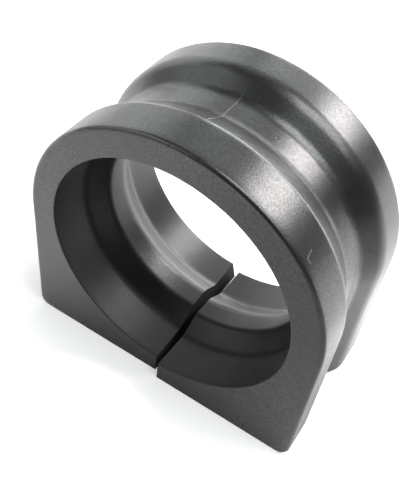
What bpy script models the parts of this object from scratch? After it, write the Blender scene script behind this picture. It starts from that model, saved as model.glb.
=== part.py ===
"""Sway bar bushing: one rubber moulding, D-shaped outside, waved in its wall, and slit through the base.

The bar lies along Y, the flat base is on z = 0, and the arch stands up along +Z. A groove for the clamp
strap runs round the outside between two end rims. Opposite it, a ridge runs round the inside of the bore,
so the wall keeps nearly one thickness as it waves in and out. The slit lets the ring open over the bar.
Its two ends have sprung a little past each other along the bar, as a split ring does.

The shape is a loft: the section of the wall is drawn again and again round the bore, from one lip of the
slit to the other, and each section is bridged to the next.
"""

import math

import bmesh
import bpy
from mathutils import Vector


# Driving sizes, in metres and degrees

LENGTH = 0.0304                    # along the bar, from face to face
BORE_RADIUS = 0.0247               # the bore at mid-length, beside the ridge
BORE_DRAFT = 0.0007                # how much wider the bore is at the back face than at the front
BORE_LEAN = -0.0003                # how far its axis stands beside the middle of the D at the front face
WALL = 0.0053                      # bore to outside, at the rims
BASE_WALL = 0.0043                 # bore to the flat base, at its thinnest

GROOVE_DEPTH = 0.0028              # how far the strap's groove goes in from the rims
GROOVE_FRONT = 0.0073              # from mid-length to its front lip
GROOVE_FRONT_SLOPE = 27.0          # slope of its front flank from the bar's direction
GROOVE_FRONT_LIP_ROUND = 0.002     # radius where the front rim turns down into it
GROOVE_FRONT_FLOOR_ROUND = 0.010   # radius where the front flank turns into its floor
GROOVE_BACK = 0.0078               # from mid-length to its back lip
GROOVE_BACK_SLOPE = 35.0           # slope of its back flank
GROOVE_BACK_LIP_ROUND = 0.0045     # radius where the back rim turns down into it
GROOVE_BACK_FLOOR_ROUND = 0.0075   # radius where the back flank turns into its floor

RIDGE_HEIGHT = 0.0030              # how far the ridge stands into the bore
RIDGE_FRONT = 0.0064               # from mid-length to its front foot
RIDGE_FRONT_SLOPE = 37.0           # slope of its front flank from the bar's direction
RIDGE_FRONT_CREST_ROUND = 0.0035   # radius where the front flank turns into its crest
RIDGE_BACK = 0.0070                # from mid-length to its back foot
RIDGE_BACK_SLOPE = 39.0            # slope of its back flank
RIDGE_BACK_CREST_ROUND = 0.0045    # radius where the back flank turns into its crest
RIDGE_FOOT_ROUND = 0.0032          # radius where either flank rises from the bore

RIM_EDGE_ROUND = 0.0008            # outer edge of each end face
BORE_EDGE_ROUND = 0.00025          # edge of the bore at each end face
FOOT_ROUND = 0.0018                # lower corners of the D

SLIT_WIDTH = 0.0012                # gap between the lips, at the base and at the front face
SLIT_FLARE = 0.0012                # how much wider the gap is in the bore at the back face
SPRUNG_STEP = 0.0013               # how far the two lips have sprung past each other, along the bar

ARCH_STEPS = 56                    # facets round the arch
SIDE_STEPS = 7                     # along each upright side
FOOT_STEPS = 4                     # round each lower corner
BASE_STEPS = 9                     # along each half of the base
ROUND_STEPS = 4                    # along each rounding of the wall's section
EDGE_STEPS = 3                     # along each edge of an end face

RUBBER_COLOUR = (0.028, 0.029, 0.031, 1.0)
RUBBER_ROUGHNESS = 0.5


# Sizes that follow from them

RIM_RADIUS = BORE_RADIUS + WALL
AXIS_HEIGHT = BORE_RADIUS + BASE_WALL


def clear_scene():
    """Starts from nothing, in a new file or an open one."""
    for thing in list(bpy.data.objects):
        bpy.data.objects.remove(thing, do_unlink=True)


def rounded(corners, steps_at):
    """Replaces each inner corner of a path by an arc that is tangent to both sides of it.

    corners is a list of (along, depth, radius). An arc meets each side at radius * tan(half the turn)
    from the corner. That length stops short of the middle of the side, so that two arcs never cross.
    """
    path = [Vector(corners[0][:2])]
    for before, corner, after, steps in zip(corners, corners[1:], corners[2:], steps_at):
        here = Vector(corner[:2])
        back = Vector(before[:2]) - here
        ahead = Vector(after[:2]) - here
        turn = math.pi - back.angle(ahead)
        reach = corner[2] * math.tan(turn / 2)
        reach = min(reach, 0.49 * back.length, 0.49 * ahead.length)
        radius = reach / math.tan(turn / 2)
        start = here + back.normalized() * reach
        middle = (back.normalized() + ahead.normalized()).normalized()
        centre = here + middle * (radius / math.cos(turn / 2))
        spoke = start - centre
        hand = 1.0 if back.x * ahead.y - back.y * ahead.x < 0 else -1.0
        for step in range(steps + 1):
            angle = hand * turn * step / steps
            across = Vector((spoke.x * math.cos(angle) - spoke.y * math.sin(angle),
                             spoke.x * math.sin(angle) + spoke.y * math.cos(angle)))
            path.append(centre + across)
    path.append(Vector(corners[-1][:2]))
    return path


def flank(start, slope, depth, foot_round, top_round):
    """The two corners of a wave's flank as (along, depth, rounding), for the back half of the bar.

    A flank that rises to a depth at a slope is depth / tan(slope) long, measured along the bar.
    """
    top = start - depth / math.tan(math.radians(slope))
    return [(top, depth, top_round), (start, 0.0, foot_round)]


def wave(front, back):
    """The four corners of a wave from its two flanks. The front one is mirrored."""
    return [(-along, depth, radius) for along, depth, radius in reversed(front)] + back


def waved_path(edge, wave_corners, edge_side):
    """Draws one side of the wall from face to face: an edge, a land, a wave, and back.

    The result is a list of (along the bar, depth of the wave). edge_side is +1 where the end faces'
    edges turn the same way as the wave, and -1 where they turn the other way.
    """
    half = LENGTH / 2
    corners = [(-half + edge, 0.0, 0.0)] + wave_corners + [(half - edge, 0.0, 0.0)]
    middle = rounded(corners, [ROUND_STEPS] * 4)
    front = [quarter_round(edge, step) for step in range(EDGE_STEPS)]
    lead_in = [Vector((-half + along, edge_side * drop)) for along, drop in front]
    lead_out = [Vector((half - along, edge_side * drop)) for along, drop in reversed(front)]
    return lead_in + middle + lead_out


def quarter_round(radius, step):
    """Gives a point of an edge's rounding: how far it is from the end face, and from the land."""
    angle = math.pi / 2 * step / EDGE_STEPS
    return radius * (1 - math.cos(angle)), radius * (1 - math.sin(angle))


def bore_gap(along):
    """Half the slit's width in the bore at a place along the bar: it widens evenly from front to back."""
    return (SLIT_WIDTH + SLIT_FLARE * (along / LENGTH + 0.5)) / 2


def outline_point(station, inset):
    """A point of the D outline, drawn in by an inset, in the plane across the bar.

    The outline runs from one lip of the slit along the base, round a foot, up a side and over the arch,
    and the same way down. Its second half mirrors the first. The base stays at z = 0 whatever the inset,
    so the groove runs out through it as it does on a bushing that sits on a flat bracket.
    """
    mirrored = station > STATIONS / 2
    place = STATIONS - station if mirrored else station
    width = RIM_RADIUS - inset
    if place <= BASE_STEPS:
        start = SLIT_WIDTH / 2
        x = start + (width - FOOT_ROUND - start) * place / BASE_STEPS
        z = 0.0
    elif place <= BASE_STEPS + FOOT_STEPS:
        angle = math.pi / 2 * (place - BASE_STEPS) / FOOT_STEPS
        x = width - FOOT_ROUND + FOOT_ROUND * math.sin(angle)
        z = FOOT_ROUND - FOOT_ROUND * math.cos(angle)
    elif place <= BASE_STEPS + FOOT_STEPS + SIDE_STEPS:
        share = (place - BASE_STEPS - FOOT_STEPS) / SIDE_STEPS
        x = width
        z = FOOT_ROUND + (AXIS_HEIGHT - FOOT_ROUND) * share
    else:
        angle = math.pi * (place - BASE_STEPS - FOOT_STEPS - SIDE_STEPS) / ARCH_STEPS
        x = width * math.cos(angle)
        z = AXIS_HEIGHT + width * math.sin(angle)
    return (-x if mirrored else x), z


STATIONS = ARCH_STEPS + 2 * (SIDE_STEPS + FOOT_STEPS + BASE_STEPS)


def turned(station):
    """How far round the ring a station is, from 0 at one lip to 1 at the other, seen from the bore's axis."""
    x, z = outline_point(station, 0.0)
    lip_x, lip_z = outline_point(0, 0.0)
    lip = math.atan2(lip_x, AXIS_HEIGHT - lip_z)
    angle = math.atan2(x, AXIS_HEIGHT - z) % (2 * math.pi)
    return (angle - lip) / (2 * math.pi - 2 * lip)


def bore_point(station, rise, along):
    """A point of the bore, raised towards its axis, at the same share of the ring as the outline's point.

    The bore's axis leans: it stands beside the slit at the front face and comes into line with it at the
    back face. So the angles of the two lips differ a little.
    """
    radius = BORE_RADIUS + BORE_DRAFT * along / LENGTH - rise
    middle = BORE_LEAN * (0.5 - along / LENGTH)
    right_lip = math.asin((bore_gap(along) - middle) / radius)
    left_lip = math.asin((bore_gap(along) + middle) / radius)
    angle = right_lip + (2 * math.pi - right_lip - left_lip) * turned(station)
    return middle + radius * math.sin(angle), AXIS_HEIGHT - radius * math.cos(angle)


def wall_section(station, outside, inside):
    """Both sides of the wall at one station, as two rows of places, moved along the bar by the spring."""
    sprung = SPRUNG_STEP * (turned(station) - 0.5)
    outer_row = []
    inner_row = []
    for along, inset in outside:
        x, z = outline_point(station, inset)
        outer_row.append(Vector((x, along + sprung, z)))
    for along, rise in inside:
        x, z = bore_point(station, rise, along)
        inner_row.append(Vector((x, along + sprung, z)))
    return outer_row, inner_row


def make_ring():
    """Lofts the wall's section round the bore, from lip to lip, into one closed body.

    Every section is a closed loop of edges: the outside from front to back, then the bore from back to
    front. Each loop is bridged to the next, and a strip of faces from outside to bore closes each lip.
    """
    groove_front = flank(GROOVE_FRONT, GROOVE_FRONT_SLOPE, GROOVE_DEPTH,
                         GROOVE_FRONT_LIP_ROUND, GROOVE_FRONT_FLOOR_ROUND)
    groove_back = flank(GROOVE_BACK, GROOVE_BACK_SLOPE, GROOVE_DEPTH,
                        GROOVE_BACK_LIP_ROUND, GROOVE_BACK_FLOOR_ROUND)
    ridge_front = flank(RIDGE_FRONT, RIDGE_FRONT_SLOPE, RIDGE_HEIGHT,
                        RIDGE_FOOT_ROUND, RIDGE_FRONT_CREST_ROUND)
    ridge_back = flank(RIDGE_BACK, RIDGE_BACK_SLOPE, RIDGE_HEIGHT,
                       RIDGE_FOOT_ROUND, RIDGE_BACK_CREST_ROUND)
    outside = waved_path(RIM_EDGE_ROUND, wave(groove_front, groove_back), 1.0)
    inside = waved_path(BORE_EDGE_ROUND, wave(ridge_front, ridge_back), -1.0)

    bm = bmesh.new()
    last_loop = None
    for station in range(STATIONS + 1):
        outer_row, inner_row = wall_section(station, outside, inside)
        outer = [bm.verts.new(place) for place in outer_row]
        inner = [bm.verts.new(place) for place in inner_row]
        around = outer + inner[::-1]
        loop = [bm.edges.new(pair) for pair in zip(around, around[1:] + around[:1])]
        if last_loop:
            bmesh.ops.bridge_loops(bm, edges=last_loop + loop)
        if station in (0, STATIONS):
            for lower, upper in zip(zip(outer, outer[1:]), zip(inner, inner[1:])):
                bm.faces.new((lower[0], lower[1], upper[1], upper[0]))
        last_loop = loop

    bmesh.ops.recalc_face_normals(bm, faces=bm.faces)
    mesh = bpy.data.meshes.new("bushing")
    bm.to_mesh(mesh)
    bm.free()
    return mesh


def rubber():
    """Black moulded rubber, satin from the mould."""
    material = bpy.data.materials.new("black_rubber")
    material.use_nodes = True
    shader = material.node_tree.nodes["Principled BSDF"]
    shader.inputs["Base Color"].default_value = RUBBER_COLOUR
    shader.inputs["Roughness"].default_value = RUBBER_ROUGHNESS
    shader.inputs["Metallic"].default_value = 0.0
    return material


def build():
    """Makes the bushing, the only piece."""
    clear_scene()
    mesh = make_ring()
    bushing = bpy.data.objects.new("bushing", mesh)
    bpy.context.scene.collection.objects.link(bushing)
    bushing.data.materials.append(rubber())
    for face in mesh.polygons:
        face.use_smooth = True
    return bushing


build()
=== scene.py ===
# %% [markdown]
# # A split rubber bushing for a sway bar
#
# A car's sway bar is held to the frame by two rubber bushings. Each one is a short block with a flat
# base, an arch over it, and a hole for the bar. A steel strap goes over the arch, in a groove, and
# clamps it down. A slit through the base lets the rubber open, so that it can be pushed over the bar.
#
# This lesson builds one of them in Blender, from formulas. The shape is a wall that goes once round
# the bore and waves in and out as it runs along the bar. The looks are those of moulded rubber: black,
# satin, with a fine grain, a faint seam and a trimmed edge.

# %% The frame, with the part at its real size
import math

import bpy
import numpy as np
from mathutils import Matrix, Vector


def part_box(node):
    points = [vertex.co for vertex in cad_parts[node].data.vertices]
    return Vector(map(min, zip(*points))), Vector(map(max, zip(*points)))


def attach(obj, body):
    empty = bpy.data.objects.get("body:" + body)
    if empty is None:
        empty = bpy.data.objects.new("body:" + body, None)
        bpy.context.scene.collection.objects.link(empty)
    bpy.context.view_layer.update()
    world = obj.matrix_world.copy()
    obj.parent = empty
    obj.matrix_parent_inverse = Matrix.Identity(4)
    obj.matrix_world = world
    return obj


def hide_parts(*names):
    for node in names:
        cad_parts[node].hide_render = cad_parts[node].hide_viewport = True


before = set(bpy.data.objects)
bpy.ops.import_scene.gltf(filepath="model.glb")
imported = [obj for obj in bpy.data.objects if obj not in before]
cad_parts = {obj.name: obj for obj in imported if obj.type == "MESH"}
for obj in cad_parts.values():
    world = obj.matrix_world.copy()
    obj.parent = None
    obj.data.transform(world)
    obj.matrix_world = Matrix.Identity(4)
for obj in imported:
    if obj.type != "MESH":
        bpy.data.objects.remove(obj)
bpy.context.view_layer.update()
low, high = [np.array(corner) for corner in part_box("bushing")]
print("the part measures", (high - low).round(4), "metres")

# %% [markdown]
# ## Sizes
#
# All sizes are in metres. The bar lies along Y, the base stands on z = 0, and the arch is up.
# The outside sizes come from the frame. The rest are the mould's own: how deep the strap's groove is,
# how far the ridge in the bore stands in, and how much each edge is rounded. Front and back differ: the
# groove's front lip and the ridge's front crest are tight, and the back ones are soft.
#
# A split ring that lies free never closes quite true. Its two ends spring past each other a little,
# along the bar, so the whole ring is a very flat screw thread. `SPRUNG_STEP` is the height of that step.
# Towards the back, the slit gapes in the bore by `SLIT_FLARE` and closes in the base by `SLIT_CLOSING`.

# %% Sizes of the moulding
SPRUNG_STEP = 0.0013
RIM_RADIUS = (high[0] - low[0]) / 2
AXIS_HEIGHT = high[2] - RIM_RADIUS
LENGTH = (high[1] - low[1]) - SPRUNG_STEP

BORE_RADIUS = 0.0247
BORE_DRAFT = 0.0007
BORE_LEAN = -0.0003

GROOVE_DEPTH = 0.0028
GROOVE_FRONT = 0.0073
GROOVE_FRONT_SLOPE = 27
GROOVE_FRONT_LIP_ROUND = 0.002
GROOVE_FRONT_FLOOR_ROUND = 0.0045
GROOVE_BACK = 0.0078
GROOVE_BACK_SLOPE = 35
GROOVE_BACK_LIP_ROUND = 0.0045
GROOVE_BACK_FLOOR_ROUND = 0.0035

RIDGE_HEIGHT = 0.0030
RIDGE_FRONT = 0.0064
RIDGE_FRONT_SLOPE = 37
RIDGE_FRONT_CREST_ROUND = 0.0022
RIDGE_BACK = 0.0073
RIDGE_BACK_SLOPE = 33
RIDGE_BACK_CREST_ROUND = 0.0045
RIDGE_FOOT_ROUND = 0.0032

RIM_EDGE_ROUND = 0.0008
BORE_EDGE_ROUND = 0.00025
FOOT_ROUND = 0.0018

SLIT_WIDTH = 0.0012
SLIT_FLARE = 0.0012
SLIT_CLOSING = 0.0008
print("wall at the rims", round((RIM_RADIUS - BORE_RADIUS) * 1000, 2), "mm")

# %% [markdown]
# ## One side of the wall, from face to face
#
# Both sides of the wall have the same kind of section: an edge at the front face, a level land, a
# trapezium wave, a land and an edge. On the outside the wave goes into the wall and is the strap's
# groove. In the bore it stands out of the wall and is the ridge.
#
# A mould maker rounds every corner of such a section. A rounded corner is an arc that touches both of
# its sides, at radius times tan(half the turn) from the corner, so it needs no drawing: the corner,
# the radius and the two directions give it.

# %% A rounded corner
ARC_POINTS = 10


def rounded_corner(before, corner, after, radius):
    """Points of the arc that replaces a corner.

    With unit vectors b and a from the corner to its neighbours, the turn is pi minus the angle between
    them. The arc starts at corner + b * radius * tan(turn / 2), and its centre is on their bisector at
    radius / cos(turn / 2). Its points are the start turned about the centre by even steps of the turn.
    """
    back = (before - corner) / np.linalg.norm(before - corner)
    ahead = (after - corner) / np.linalg.norm(after - corner)
    turn = np.pi - np.arccos(back @ ahead)
    middle = (back + ahead) / np.linalg.norm(back + ahead)
    centre = corner + middle * radius / np.cos(turn / 2)
    spoke = corner + back * radius * np.tan(turn / 2) - centre
    hand = -np.sign(back[0] * ahead[1] - back[1] * ahead[0])
    angle = hand * turn * np.linspace(0, 1, ARC_POINTS)
    return centre + np.stack([spoke[0] * np.cos(angle) - spoke[1] * np.sin(angle),
                              spoke[0] * np.sin(angle) + spoke[1] * np.cos(angle)], axis=1)


example = rounded_corner(np.array([-5.0, 0]), np.zeros(2), np.array([0, 5.0]), 1)
print("a right angle, rounded by 1, from", example[0].round(2), "to", example[-1].round(2))

# %% [markdown]
# A wave is known by the four corners of its trapezium. Its two flanks are given separately, because the
# mould slopes and rounds them differently: where the flank starts, its slope, how high it rises, and the
# rounding at its foot and at its top.

# %% The waves of the groove and the ridge
def flank(start, slope, depth, foot_round, top_round):
    """The two corners of a wave's flank as (along, depth, rounding), for the back half.

    A flank that rises to the depth at a slope is depth / tan(slope) long, measured along the bar.
    """
    return [(start - depth / math.tan(math.radians(slope)), depth, top_round), (start, 0, foot_round)]


def wave(front, back):
    """The four corners of a wave from two flanks. The front one is mirrored: along becomes -along."""
    return [(-along, depth, radius) for along, depth, radius in front[::-1]] + back


groove = wave(flank(GROOVE_FRONT, GROOVE_FRONT_SLOPE, GROOVE_DEPTH,
                    GROOVE_FRONT_LIP_ROUND, GROOVE_FRONT_FLOOR_ROUND),
              flank(GROOVE_BACK, GROOVE_BACK_SLOPE, GROOVE_DEPTH,
                    GROOVE_BACK_LIP_ROUND, GROOVE_BACK_FLOOR_ROUND))
ridge = wave(flank(RIDGE_FRONT, RIDGE_FRONT_SLOPE, RIDGE_HEIGHT, RIDGE_FOOT_ROUND, RIDGE_FRONT_CREST_ROUND),
             flank(RIDGE_BACK, RIDGE_BACK_SLOPE, RIDGE_HEIGHT, RIDGE_FOOT_ROUND, RIDGE_BACK_CREST_ROUND))
print("groove corners in mm along the bar:", [round(corner[0] * 1000, 1) for corner in groove])
print("ridge corners in mm along the bar:", [round(corner[0] * 1000, 1) for corner in ridge])

# %% [markdown]
# A whole side is then a chain of pieces: quarter circle, land, the wave's arcs with straight stretches
# between them, land, quarter circle. The strap's side and the bar's side get the same number of points,
# so that each point of the outside has a partner in the bore.

# %% From face to face
EDGE_POINTS = 9
LAND_STEPS = 8
FLANK_STEPS = 3
FLOOR_STEPS = 12


def stretch(start, end, steps):
    """The inner points of a straight stretch: start + (end - start) * step / steps."""
    return start + (end - start) * (np.arange(1, steps) / steps)[:, None]


def waved_path(edge, corners, edge_side):
    """One side of the wall as (along, depth): edge, land, wave, land, edge.

    The edge is a quarter circle, edge * (1 - cos, 1 - sin) of an even angle, from the front face on. At
    the back it is the same with along negated.
    """
    angle = np.linspace(0, np.pi / 2, EDGE_POINTS)
    front = edge * (1 - np.stack([np.cos(angle), np.sin(angle)], axis=1)) * [1, edge_side] - [LENGTH / 2, 0]
    back = front[::-1] * [-1, 1]
    places = [front[-1]] + [np.array(corner[:2]) for corner in corners] + [back[0]]
    path = front
    for turn, steps in enumerate([LAND_STEPS, FLANK_STEPS, FLOOR_STEPS, FLANK_STEPS]):
        arc = rounded_corner(*places[turn:turn + 3], corners[turn][2])
        path = np.concatenate([path, stretch(path[-1], arc[0], steps), arc])
    return np.concatenate([path, stretch(path[-1], back[0], LAND_STEPS), back])


outside = waved_path(RIM_EDGE_ROUND, groove, 1)
inside = waved_path(BORE_EDGE_ROUND, ridge, -1)
print("points from face to face", len(outside), len(inside))

# %% [markdown]
# ## A block bent round the bore
#
# The whole bushing is one block of rubber with three coordinates: *round* the ring from lip to lip,
# *along* the bar from face to face, and *through* the wall from the outside to the bore. First comes
# the outside, a D: from a lip along the base, round a foot, up a side and over the arch, then the same
# way down. The base stays at z = 0 whatever the depth of the groove, because a bushing that sits on a
# flat bracket has its groove run out through the base.

# %% The D outline
BASE_STATIONS = 36
FOOT_STATIONS = 12
SIDE_STATIONS = 34
ARCH_STATIONS = 146
SEAM_ANGLE = math.radians(91.8)


def arch_angles():
    """Angles of the arch's stations, from one side to the other, with a few more close to the seam."""
    even = np.linspace(0, np.pi, 2 * ARCH_STATIONS + 1)
    close = SEAM_ANGLE + np.radians(np.linspace(-0.5, 0.5, 11))
    keep = np.abs(even - SEAM_ANGLE) > np.radians(0.6)
    return np.sort(np.concatenate([even[keep], close]))


def outline(inset, along):
    """x and z of the D at every station (rows), for arrays of insets and places along the bar (columns).

    Base: x runs evenly from the lip to the foot, and the lip is half the slit's width, which shrinks
    evenly by SLIT_CLOSING from front to back. Foot: a quarter circle. Side: z runs evenly up. Arch:
    width * (cos, sin) of the angle about the bar. The way down is the way up with x negated.
    """
    width = RIM_RADIUS - inset
    lip = (SLIT_WIDTH - SLIT_CLOSING * (along / LENGTH + 0.5)) / 2
    flat = np.linspace(0, 1, BASE_STATIONS, endpoint=False)[:, None]
    turn = np.linspace(0, np.pi / 2, FOOT_STATIONS, endpoint=False)[:, None]
    rise = np.linspace(0, 1, SIDE_STATIONS, endpoint=False)[:, None]
    up_x = np.concatenate([lip + (width - FOOT_ROUND - lip) * flat,
                           width - FOOT_ROUND + FOOT_ROUND * np.sin(turn),
                           width + 0 * rise])
    up_z = np.concatenate([0 * width * flat,
                           FOOT_ROUND - FOOT_ROUND * np.cos(turn) + 0 * width,
                           FOOT_ROUND + (AXIS_HEIGHT - FOOT_ROUND) * rise + 0 * width])
    angle = arch_angles()[:, None]
    x = np.concatenate([up_x, width * np.cos(angle), -up_x[::-1]])
    z = np.concatenate([up_z, AXIS_HEIGHT + width * np.sin(angle), up_z[::-1]])
    return x, z


middle_x, middle_z = outline(np.zeros(1), np.zeros(1))
print("outline of", len(middle_x), "stations,", round(np.ptp(middle_x) * 1000, 1), "mm wide")

# %% [markdown]
# The bore is round, so only the angle about the bar matters there. Each station of the bore is turned
# by the same share of the ring as the outline's station, so the lines through the wall stay short.
#
# The wave's two sides were worked out with the same number of points. The wall between them is then
# filled by straight lines from one to the other, and the third coordinate is how far along that line.

# %% The block
THROUGH_STEPS = 12


def share_round():
    """How far round the ring each station is, from 0 at one lip to 1 at the other.

    It is the angle of the D's point as seen from the bar, measured from the lip, over the whole angle.
    """
    angle = np.arctan2(middle_x[:, 0], AXIS_HEIGHT - middle_z[:, 0]) % (2 * np.pi)
    return (angle - angle[0]) / (2 * np.pi - 2 * angle[0])


def bore(rise, along, share):
    """x and z of the bore: a circle about an axis that leans a little, from lip to lip.

    The radius is BORE_RADIUS + BORE_DRAFT * along / LENGTH - rise. A lip lies where the circle is half a
    gap from the middle of the slit, and the gap widens evenly from the front face to the back face.
    """
    radius = BORE_RADIUS + BORE_DRAFT * along / LENGTH - rise
    middle = BORE_LEAN * (0.5 - along / LENGTH)
    half_gap = (SLIT_WIDTH + SLIT_FLARE * (along / LENGTH + 0.5)) / 2
    right_lip = np.arcsin((half_gap - middle) / radius)
    left_lip = np.arcsin((half_gap + middle) / radius)
    angle = right_lip + (2 * np.pi - right_lip - left_lip) * share[:, None]
    return middle + radius * np.sin(angle), AXIS_HEIGHT - radius * np.cos(angle)


def block():
    """Every point of the block as an array [round, along, through, xyz].

    Outside and bore points are joined by straight lines: (1 - t) * outside + t * bore. The spring adds
    SPRUNG_STEP * (share - 1/2) to y, so one lip lies further along the bar than the other.
    """
    share = share_round()
    out_x, out_z = outline(outside[:, 1], outside[:, 0])
    in_x, in_z = bore(inside[:, 1], inside[:, 0], share)
    sprung = SPRUNG_STEP * (share[:, None] - 0.5)
    outer = np.stack([out_x, outside[:, 0] + sprung, out_z], axis=-1)
    inner = np.stack([in_x, inside[:, 0] + sprung, in_z], axis=-1)
    through = np.linspace(0, 1, THROUGH_STEPS + 1)[:, None]
    return outer[:, :, None] * (1 - through) + inner[:, :, None] * through


lattice = block()
print("lattice", lattice.shape[:3])

# %% [markdown]
# ## From the block to its skin
#
# Only the six sides of the block are surface: outside, bore, two faces and the two lips of the slit.
# Every lattice point gets a number, and each side is a slice of those numbers. Neighbouring sides
# share their border points, so the skin is closed, with nothing to merge or to cap.

# %% The skin
number = np.arange(lattice[..., 0].size).reshape(lattice.shape[:3])


def quads(sheet):
    """The four-cornered faces of a sheet of point numbers, each wound round its cell."""
    corners = [sheet[:-1, :-1], sheet[1:, :-1], sheet[1:, 1:], sheet[:-1, 1:]]
    return np.stack(corners, axis=-1).reshape(-1, 4)


sides = [number[:, :, 0], number[:, ::-1, -1], number[:, 0, ::-1], number[:, -1], number[0],
         number[-1, ::-1]]
faces = np.concatenate([quads(side) for side in sides])
used, faces = np.unique(faces, return_inverse=True)
faces = faces.reshape(-1, 4)
points = lattice.reshape(-1, 3)[used]


def volume(points, faces):
    """Volume inside a closed skin: the sum over its triangles of a . (b x c) / 6. Outward faces give +."""
    a, b, c, d = [points[faces[:, corner]] for corner in range(4)]
    return (np.einsum("ij,ij->", a, np.cross(b, c)) + np.einsum("ij,ij->", a, np.cross(c, d))) / 6


if volume(points, faces) < 0:
    faces = faces[:, ::-1]
print("skin", len(points), "points,", 2 * len(faces), "triangles")
print("volume", round(volume(points, faces) * 1e6, 2), "cm3")

# %% [markdown]
# ## Marks of the mould and of the knife
#
# No rubber moulding is perfect. This one has a thin seam over the arch, where two parts of the mould
# met, and it is rubbed away except in the groove. Along the front edge, to the left of the top, flash
# was squeezed out and trimmed, and a ragged strip is left. The whole skin is also very slightly uneven,
# which shows only in its highlights.
#
# All three are heights, added along the skin's own normals. The tools for them come first.

# %% Normals, a random height and a hump
def normals_of(points, faces):
    """Unit normals at the points: the sum of the cross products of the diagonals of the faces there."""
    a, b, c, d = [points[faces[:, corner]] for corner in range(4)]
    face_normals = np.cross(c - a, d - b)
    total = np.zeros_like(points)
    for corner in range(4):
        np.add.at(total, faces[:, corner], face_normals)
    return total / np.linalg.norm(total, axis=1)[:, None]


def uneven(places, wavelength, seed):
    """A soft random height between about -1 and 1: the mean of cosines of waves in random directions."""
    rng = np.random.default_rng(seed)
    ways = rng.normal(size=(12, 3))
    lengths = (2 * np.pi / wavelength) * rng.uniform(0.6, 1.4, 12)
    ways *= (lengths / np.linalg.norm(ways, axis=1))[:, None]
    starts = rng.uniform(0, 2 * np.pi, 12)
    return np.cos(places @ ways.T + starts).sum(axis=1) / 4


def hump(distance, width):
    """A smooth hump of height 1: exp(-(distance / width) squared)."""
    return np.exp(-(distance / width) ** 2)


normals = normals_of(points, faces)
print("share of the points that look up:", round((normals[:, 2] > 0.7).mean(), 2))

# %% [markdown]
# A mark is placed by where a point is: its angle about the bar, its way from the front face, and its
# distance from the front edge's rounding. Close to the base the unevenness fades out, so that the
# bushing stands flat.

# %% Seam, flash and unevenness
SEAM_HEIGHT = 0.00005
SEAM_WIDTH = 0.00009
SEAM_FROM, SEAM_TO = -0.0070, 0.0052
FLASH_HEIGHT = 0.00014
FLASH_WIDTH = 0.00011
FLASH_FROM, FLASH_TO = math.radians(84), math.radians(113)
UNEVEN_HEIGHT = 0.000006

along = points[:, 1]
angle = np.arctan2(points[:, 2] - AXIS_HEIGHT, points[:, 0])
radius = np.hypot(points[:, 0], points[:, 2] - AXIS_HEIGHT)
on_outside = np.clip((radius - BORE_RADIUS - 0.001) / 0.001, 0, 1)

seam = hump((angle - SEAM_ANGLE) * RIM_RADIUS, SEAM_WIDTH) * on_outside
seam *= np.clip((along - SEAM_FROM) / 0.001, 0, 1) * np.clip((SEAM_TO - along) / 0.003, 0, 1)

share = (share_round()[:, None, None] + 0 * lattice[..., 0]).reshape(-1)[used]
to_front = along - SPRUNG_STEP * (share - 0.5) + LENGTH / 2
to_edge = np.hypot(to_front - 0.0003, radius - RIM_RADIUS + 0.0003)
ragged = 0.55 + 0.5 * uneven(points, 0.0016, 3) + 0.3 * uneven(points, 0.006, 4)
within = np.clip((angle - FLASH_FROM) / 0.05, 0, 1) * np.clip((FLASH_TO - angle) / 0.15, 0, 1)
flash = np.clip(ragged, 0, 1) * within * hump(to_edge, FLASH_WIDTH)

above_base = np.clip(points[:, 2] / 0.001, 0, 1)
height = UNEVEN_HEIGHT * above_base * (uneven(points, 0.006, 1) + 0.6 * uneven(points, 0.0025, 2))
height += SEAM_HEIGHT * seam + FLASH_HEIGHT * flash
points = points + height[:, None] * normals
torn = 0.8 * seam + 0.8 * flash
print("heights from", round(height.min() * 1e6), "to", round(height.max() * 1e6), "micrometres")

# %% [markdown]
# ## The mesh
#
# `from_pydata` turns the arrays into a mesh. The skin is shaded smooth, but the slit was cut with a
# blade, so the borders of its two lips stay sharp. An edge belongs to such a border when the faces on
# its two sides turn by more than 60 degrees.

# %% The bushing
CUT_ANGLE = math.radians(60)

mesh = bpy.data.meshes.new("bushing_skin")
mesh.from_pydata(points, [], faces)
mesh.shade_smooth()
mesh.set_sharp_from_angle(angle=CUT_ANGLE)
mesh.attributes.new("torn", "FLOAT", "POINT").data.foreach_set("value", torn.astype(np.float32))
bushing = bpy.data.objects.new("moulded_bushing", mesh)
bpy.context.scene.collection.objects.link(bushing)
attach(bushing, "root")
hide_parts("bushing")
print("mesh", len(mesh.polygons), "faces, valid:", not mesh.validate())

# %% [markdown]
# ## Rubber
#
# A procedural material is arithmetic on places. In Blender every sum and product is a node, which is
# slow to read and slow to wire. So a node's output gets a small class of its own, with Python's
# arithmetic: each operation adds its Math node behind the scenes. `__rsub__` is what lets a mask be
# turned round as `1 - mask`.

# %% Arithmetic with node outputs
class Value:
    """A number that changes over the surface: the output of a node of a finish."""

    def __init__(self, finish, socket):
        self.finish = finish
        self.socket = socket

    def __add__(self, other):
        return self.finish.math("ADD", self, other)

    def __sub__(self, other):
        return self.finish.math("SUBTRACT", self, other)

    def __rsub__(self, other):
        return self.finish.math("SUBTRACT", other, self)

    def __mul__(self, other):
        return self.finish.math("MULTIPLY", self, other)

    def __abs__(self):
        return self.finish.math("ABSOLUTE", self)

    __radd__ = __add__
    __rmul__ = __mul__

    def between(self, low, high):
        """0 up to low, 1 from high, and a smooth rise between them. With low above high it falls."""
        inputs = {"Value": self, "From Min": low, "From Max": high}
        return self.finish.node("ShaderNodeMapRange", {"interpolation_type": "SMOOTHSTEP"}, inputs)


print("a Value can be added, subtracted, multiplied and held between two numbers")

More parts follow.
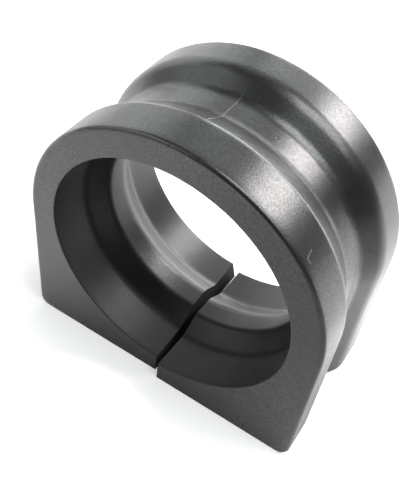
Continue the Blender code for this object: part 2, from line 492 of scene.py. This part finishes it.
# %% [markdown]
# The finish itself is a material with one method that adds any node: first its settings, then its
# sockets, each with a number or with a link. The short methods under it name the few nodes that the
# materials here are made of. The Mix node has sockets for numbers and for colours under the same names,
# so its colours are given by their places in the list, 6 and 7.

# %% A material in the making
class Finish:
    """A material, the object coordinates of its surface, and short ways to add nodes."""

    def __init__(self, name):
        self.material = bpy.data.materials.new(name)
        self.material.use_nodes = True
        self.tree = self.material.node_tree
        self.surface = self.tree.nodes["Principled BSDF"]
        self.place = self.node("ShaderNodeTexCoord", output="Object")

    def feed(self, socket, value):
        if isinstance(value, Value):
            self.tree.links.new(value.socket, socket)
        else:
            socket.default_value = value

    def node(self, kind, settings=None, inputs=None, output=0):
        """Adds a node: its settings first, then the values or links of its sockets."""
        made = self.tree.nodes.new(kind)
        for name, value in (settings or {}).items():
            setattr(made, name, value)
        for name, value in (inputs or {}).items():
            self.feed(made.inputs[name], value)
        return Value(self, made.outputs[output])

    def math(self, operation, *operands, clamp=False):
        settings = {"operation": operation, "use_clamp": clamp}
        return self.node("ShaderNodeMath", settings, dict(enumerate(operands)))

    def vector(self, operation, *operands, output=0):
        inputs = dict(enumerate(operands))
        return self.node("ShaderNodeVectorMath", {"operation": operation}, inputs, output)

    def axis(self, name):
        """X, Y or Z of the place, in metres."""
        return self.node("ShaderNodeSeparateXYZ", inputs={0: self.place}, output=name)

    def distance_to(self, centre):
        return self.vector("DISTANCE", self.place, centre, output="Value")

    def noise(self, size, detail=2.0, roughness=0.5):
        """Noise from 0 to 1 whose features are about the given size, in metres."""
        inputs = {"Vector": self.place, "Scale": 1 / size, "Detail": detail, "Roughness": roughness}
        return self.node("ShaderNodeTexNoise", inputs=inputs)

    def mix(self, share, first, second):
        """A colour that goes from first to second as share goes from 0 to 1."""
        inputs = {"Factor": share, 6: first, 7: second}
        return self.node("ShaderNodeMix", {"data_type": "RGBA"}, inputs, output=2)


finish = Finish("black_rubber_moulded")
print("a new finish has", len(finish.tree.nodes), "nodes")

# %% [markdown]
# ### Noise and marks
#
# The mould was spark-eroded, so the rubber has a fine grain. A little wax comes to its surface and greys
# it in soft patches. The heights of the seam and the flash are known at each vertex, so they come to the
# material as an attribute. All the rest is a function of place: the spots of a few pits in the front rim
# and of two specks on the front face, and two strokes that make one small scratch.

# %% Grain, wax, pits, specks and a scratch
GRAIN = 0.00036
PITS = [(-0.00092, -0.00818, 0.05899), (-0.00106, -0.01004, 0.05898), (-0.00102, -0.01164, 0.05898),
        (-0.00119, -0.01334, 0.05898)]
SPECKS = [(-0.00181, -0.0152, 0.05675), (0.00138, -0.0152, 0.05781)]
SCRATCH = [(0.02172, -0.01177, 0.04969), (0.02197, -0.01341, 0.04943), (0.02266, -0.01339, 0.04866)]


def spot(centre, radius):
    """1 inside a small round mark, 0 outside: it falls from 40% of the radius to the radius."""
    return finish.distance_to(centre).between(radius, radius * 0.4)


def stroke(start, end, width):
    """1 on a thin line between two places, 0 away from it.

    With v the way from start to the point and w the way from start to end, the nearest place on the
    line is start + w * h, where h = v . w / w . w, held between 0 and 1.
    """
    way = Vector(end) - Vector(start)
    to_point = finish.vector("SUBTRACT", finish.place, start)
    along = finish.vector("DOT_PRODUCT", to_point, tuple(way / way.length_squared), output="Value")
    held = finish.math("ADD", along, 0.0, clamp=True)
    nearest = finish.node("ShaderNodeVectorMath", {"operation": "SCALE"}, {0: tuple(way), "Scale": held})
    return finish.vector("DISTANCE", to_point, nearest, output="Value").between(width, width * 0.3)


grain = finish.noise(GRAIN, detail=3.0, roughness=0.6)
blotches = finish.noise(0.006, detail=4.0)
wax = finish.noise(0.014, detail=3.0, roughness=0.6).between(0.35, 0.75)
torn = finish.node("ShaderNodeAttribute", {"attribute_name": "torn"}, output="Fac")
pits = spot(PITS[0], 0.00032) + spot(PITS[1], 0.0002) + spot(PITS[2], 0.0002) + spot(PITS[3], 0.0002)
specks = 0.6 * spot(SPECKS[0], 0.0003) + 0.6 * spot(SPECKS[1], 0.0003)
scratch = stroke(SCRATCH[0], SCRATCH[1], 0.00016) + stroke(SCRATCH[1], SCRATCH[2], 0.00013)
print("with its marks the finish has", len(finish.tree.nodes), "nodes")

# %% [markdown]
# ### Where the rubber is dull
#
# The bore is duller than the outside, most of all towards the front. The core that formed it was less
# polished than the mould, and the bar rubs there. The cut faces of the slit are quite matt, because the
# knife left no moulded skin. Both masks use the distance from the bar's axis or from the slit, and the
# way that the surface faces, so that they end exactly at the edges.

# %% Masks of the bore and of the cut
spoke = finish.vector("MULTIPLY", finish.vector("SUBTRACT", finish.place, (0, 0, AXIS_HEIGHT)), (1, 0, 1))
from_axis = finish.vector("LENGTH", spoke, output="Value")
facing = finish.node("ShaderNodeNewGeometry", output="True Normal")
sideways = abs(finish.vector("DOT_PRODUCT", facing, (1, 0, 0), output="Value"))
lengthways = abs(finish.vector("DOT_PRODUCT", facing, (0, 1, 0), output="Value"))

in_bore = from_axis.between(BORE_RADIUS + 0.0006, BORE_RADIUS + 0.0004) * lengthways.between(0.95, 0.8)
dull = in_bore * (0.55 + 0.45 * finish.axis("Y").between(0.004, -0.008))
cut = sideways.between(0.8, 0.95) * abs(finish.axis("X")).between(0.0019, 0.0014)
print("the bore's mask ends", BORE_RADIUS + 0.0006, "metres from the axis")

# %% [markdown]
# ### Colour and gloss
#
# Carbon black makes the rubber almost black. Torn places, the specks and the scratch are paler, and the
# pits are black. The skin's gloss is a coat over the rubber. A coat has a normal of its own, which the
# bump doesn't move, so the grain is in the coat's weight as well: it is what makes the highlights
# sparkle. The bore loses most of the coat, the cut and the pits all of it, and the bore and the cut are
# rougher too.

# %% Black rubber
RUBBER = (0.0115, 0.0120, 0.0127, 1)
BLOOM = (0.024, 0.024, 0.0245, 1)
TORN = (0.130, 0.130, 0.130, 1)
PIT = (0.012, 0.012, 0.012, 1)
SHEEN = 0.32
BORE_DULLNESS = 0.9

colour = finish.mix(wax * 0.5, RUBBER, BLOOM)
colour = finish.mix(torn + scratch + specks, colour, TORN)
colour = finish.mix(pits, colour, PIT)
roughness = SHEEN + 0.10 * (blotches - 0.5) + 0.08 * (grain - 0.5) + 0.05 * wax
roughness = roughness + 0.15 * torn + 0.3 * cut + 0.15 * dull
gloss = (0.5 + 1.7 * (grain - 0.5)) * (1 - BORE_DULLNESS * dull) * (1 - cut) * (1 - pits)
relief = {"Height": grain - 0.6 * pits, "Strength": 1.0, "Distance": 0.00003}

finish.surface.inputs["Coat Roughness"].default_value = 0.27
finish.surface.inputs["Coat IOR"].default_value = 1.6
finish.surface.inputs["Specular IOR Level"].default_value = 0.5
finish.feed(finish.surface.inputs["Base Color"], colour)
finish.feed(finish.surface.inputs["Roughness"], roughness)
finish.feed(finish.surface.inputs["Coat Weight"], gloss)
finish.feed(finish.surface.inputs["Normal"], finish.node("ShaderNodeBump", inputs=relief, output="Normal"))
mesh.materials.append(finish.material)
print("the rubber has", len(finish.tree.nodes), "nodes")

# %% [markdown]
# ## Camera
#
# The camera looks down at the part from the front and a little from the right, and leans to one side.
# Its focal length is known in pixels. The picture is taller than wide, so the sensor's size goes with its
# height, and the lens in millimetres is pixels / height * sensor.

# %% Camera
CAMERA_AZIMUTH = math.radians(25.325)
CAMERA_ELEVATION = math.radians(47.785)
CAMERA_LEAN = math.radians(9.454)
CAMERA_DISTANCE = 0.134502
LOOK_AT = Vector((0.00184, -0.00407, 0.03021))
PICTURE_HEIGHT = 488
FOCAL_PIXELS = 756.049
SENSOR = 36.0
LENS = FOCAL_PIXELS / PICTURE_HEIGHT * SENSOR

back = Vector((math.sin(CAMERA_AZIMUTH) * math.cos(CAMERA_ELEVATION),
               -math.cos(CAMERA_AZIMUTH) * math.cos(CAMERA_ELEVATION),
               math.sin(CAMERA_ELEVATION)))
level = Vector((math.cos(CAMERA_AZIMUTH), math.sin(CAMERA_AZIMUTH), 0))
right = level * math.cos(CAMERA_LEAN) + back.cross(level) * math.sin(CAMERA_LEAN)
camera_data = bpy.data.cameras.new("camera")
camera_data.sensor_width = SENSOR
camera_data.lens = LENS
camera_data.clip_start = 0.01
camera = bpy.data.objects.new("camera", camera_data)
camera.matrix_world = Matrix.Translation(LOOK_AT + back * CAMERA_DISTANCE) @ Matrix(
    (right, back.cross(right), back)).transposed().to_4x4()
bpy.context.scene.collection.objects.link(camera)
bpy.context.scene.camera = camera
print("camera at", [round(value, 4) for value in camera.location], "lens", round(LENS, 2), "mm")

# %% [markdown]
# ## Floor
#
# The part stands on a wide sheet of white paper, a hair below its base so that the two never coincide.

# %% Floor
FLOOR_SIZE = 4.0
FLOOR_DROP = 0.00005

half = FLOOR_SIZE / 2
floor_corners = [(-half, -half, -FLOOR_DROP), (half, -half, -FLOOR_DROP), (half, half, -FLOOR_DROP),
                 (-half, half, -FLOOR_DROP)]
floor_mesh = bpy.data.meshes.new("floor")
floor_mesh.from_pydata(floor_corners, [], [(0, 1, 2, 3)])
floor = bpy.data.objects.new("floor", floor_mesh)
bpy.context.scene.collection.objects.link(floor)
print("floor", FLOOR_SIZE, "metres wide")

# %% [markdown]
# The picture is overexposed, so the paper looks white to its edges, with only a soft shadow. Light Path
# tells what kind of ray looks at the paper. The camera sees it shaded by the lamps, plus an even glow
# that lifts it to white. Rays that bounce off the rubber see another glow, because in the real room the
# paper is brighter in some places than in others: dark under and beside the part, where it stands in its
# own shade, bright far behind it and in a patch close to its right, and dim to the left and far to the
# right. Neither glow lights the part: one is for the camera alone, and the other shows only in
# reflections. To all rays but the camera's the paper is grey, so it throws less of the lamps' light up.

# %% Paper
PAPER_SEEN = 0.88
PAPER_UNSEEN = 0.46
PAPER_GLOW = 0.37
SHADED_SPOT = (0.012, -0.055, -FLOOR_DROP)
BRIGHT_SPOT = (0.043, 0.012, -FLOOR_DROP)

paper = Finish("white_paper")
seen = paper.node("ShaderNodeLightPath", output="Is Camera Ray")
mirrored = paper.node("ShaderNodeLightPath", output="Is Glossy Ray")
place_x, place_y = paper.axis("X"), paper.axis("Y")

around = paper.vector("MULTIPLY", paper.place, (1, 1.6, 0))
clear = paper.vector("LENGTH", around, output="Value").between(0.022, 0.060)
shaded = paper.distance_to(SHADED_SPOT).between(0.06, 0.015)
beside = place_x.between(0.01, 0.05) * (1 - (place_y - 0.4 * place_x).between(-0.05, 0.02))
left = place_x.between(0.01, -0.08)
far_right = place_x.between(0.12, 0.35)
behind = (place_y - abs(place_x)).between(0.01, 0.10)
near_right = paper.distance_to(BRIGHT_SPOT).between(0.03, 0.008)

glow = (1.0 + 2.4 * behind + 0.7 * near_right) * clear * (1 - 0.78 * shaded)
glow = glow * (1 - 0.92 * beside) * (1 - 0.34 * left) * (1 - 0.6 * far_right)
paper.surface.inputs["Roughness"].default_value = 0.9
paper.surface.inputs["Emission Strength"].default_value = 1.0
paper.feed(paper.surface.inputs["Base Color"], PAPER_UNSEEN + (PAPER_SEEN - PAPER_UNSEEN) * seen)
paper.feed(paper.surface.inputs["Emission Color"], PAPER_GLOW * seen + mirrored * glow)
floor_mesh.materials.append(paper.material)
print("the paper has", len(paper.tree.nodes), "nodes")

# %% [markdown]
# ## Light
#
# Black satin rubber shows its form by what it reflects, so every lamp is a large soft panel. The key is
# warm and stands behind the part to the right: it makes the highlights on the arch and throws the shadow
# to the front. The others are cool and weaker. The window and the low panel stand at the back near the
# horizon, and the groove's front flank reflects them as a light line. The sheet lights the arch's left
# side, the left panel the ridge's front flank, and the overhead panel the groove's back flank. The high
# panel at the back is faint, and fills the dark above the window and the sheet.

# %% Lamps
LAMP_DISTANCE = 1.5
WARM = (1.0, 0.965, 0.955)
COOL = (0.965, 0.99, 1.0)


def softbox(name, colour, azimuth, elevation, width, height, radiance):
    """A rectangular lamp facing the part, with its place and its size given in degrees as seen from it.

    A side of w degrees is 2 * distance * tan(w / 2) long. The power is radiance * pi * area.
    """
    azimuth, elevation = math.radians(azimuth), math.radians(elevation)
    way = Vector((math.cos(azimuth) * math.cos(elevation), math.sin(azimuth) * math.cos(elevation),
                  math.sin(elevation)))
    data = bpy.data.lights.new(name, "AREA")
    data.shape = "RECTANGLE"
    data.size = 2 * LAMP_DISTANCE * math.tan(math.radians(width) / 2)
    data.size_y = 2 * LAMP_DISTANCE * math.tan(math.radians(height) / 2)
    data.energy = radiance * math.pi * data.size * data.size_y
    data.color = colour
    lamp = bpy.data.objects.new(name, data)
    turned = way.to_track_quat("Z", "Y").to_matrix().to_4x4()
    lamp.matrix_world = Matrix.Translation(LOOK_AT + way * LAMP_DISTANCE) @ turned
    bpy.context.scene.collection.objects.link(lamp)
    return data.energy


power = softbox("key", WARM, 60, 35, 20, 18, 16.2)
power += softbox("window", COOL, 92, 20, 42, 38, 2.7)
power += softbox("low back", COOL, 88, 7, 46, 14, 4.0)
power += softbox("high back", COOL, 116, 50, 30, 22, 0.65)
power += softbox("sheet", COOL, 148, 20, 50, 33, 1.6)
power += softbox("left", COOL, 210, 34, 54, 46, 1.3)
power += softbox("overhead", COOL, 13, 64, 36, 38, 7.2)
print("lamps of", round(power), "watts together")

# %% [markdown]
# A weak white world fills what no lamp reaches, and past the floor's end the camera sees it as white
# too: Map Range gives its strength for camera rays and for all others. The Standard view keeps colours
# about as they are written.

# %% World and view
FILL = 0.06

world = bpy.data.worlds.new("studio")
world.use_nodes = True
nodes, links = world.node_tree.nodes, world.node_tree.links
rays = nodes.new("ShaderNodeLightPath")
strength = nodes.new("ShaderNodeMapRange")
strength.inputs["To Min"].default_value = FILL
strength.inputs["To Max"].default_value = 1.0
links.new(rays.outputs["Is Camera Ray"], strength.inputs["Value"])
nodes["Background"].inputs["Color"].default_value = (1, 1, 1, 1)
links.new(strength.outputs["Result"], nodes["Background"].inputs["Strength"])
bpy.context.scene.world = world
bpy.context.scene.view_settings.view_transform = "Standard"
print("view transform", bpy.context.scene.view_settings.view_transform)
